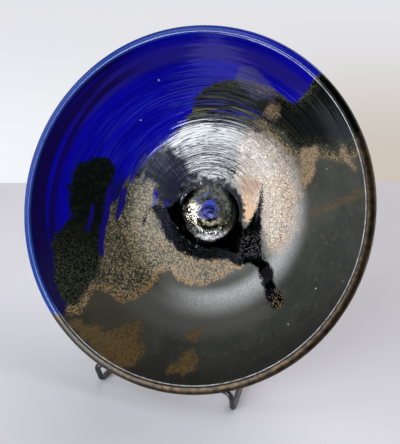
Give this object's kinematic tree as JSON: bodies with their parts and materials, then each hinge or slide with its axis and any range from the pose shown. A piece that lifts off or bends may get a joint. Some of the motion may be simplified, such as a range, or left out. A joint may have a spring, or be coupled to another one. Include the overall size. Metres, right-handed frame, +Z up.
{
  "type": "bird bath",
  "caption": "Wide glazed stoneware bird bath bowl with a rolled rim and a round central well, leaning back on a folding wire easel that it lifts off.",
  "frame": {"origin": "on the table, under the middle of the object's box", "axes": "+Z up, the bowl faces -Y and leans back towards +Y, +X to the right seen from the front"},
  "size_m": [0.36, 0.2474, 0.3414],
  "materials": {
    "glaze": "glossy cobalt blue and satin gunmetal glazes over stoneware",
    "black_wire": "satin black paint"
  },
  "bodies": {
    "easel": {"left_side_wire": "black_wire", "right_side_wire": "black_wire", "ledge_bar": "black_wire", "hinge_bar": "black_wire", "top_bar": "black_wire", "floor_tie_bar": "black_wire"},
    "prop": {"prop_left_leg": "black_wire", "prop_right_leg": "black_wire", "left_hinge_loop": "black_wire", "right_hinge_loop": "black_wire", "prop_cross_bar": "black_wire", "prop_floor_bar": "black_wire"},
    "bowl": {"basin": "glaze"}
  },
  "joints": [
    {"name": "prop_fold", "type": "hinge", "parent": "easel", "child": "prop", "pos_m": [0, 0.07259, 0.20058], "axis": [-1, 0, 0], "range_deg": [0, 36]},
    {"name": "bowl_lift_off", "type": "slide", "parent": "easel", "child": "bowl", "axis": [0, -0.9018, 0.4321], "range_m": [0, 0.13]}
  ]
}
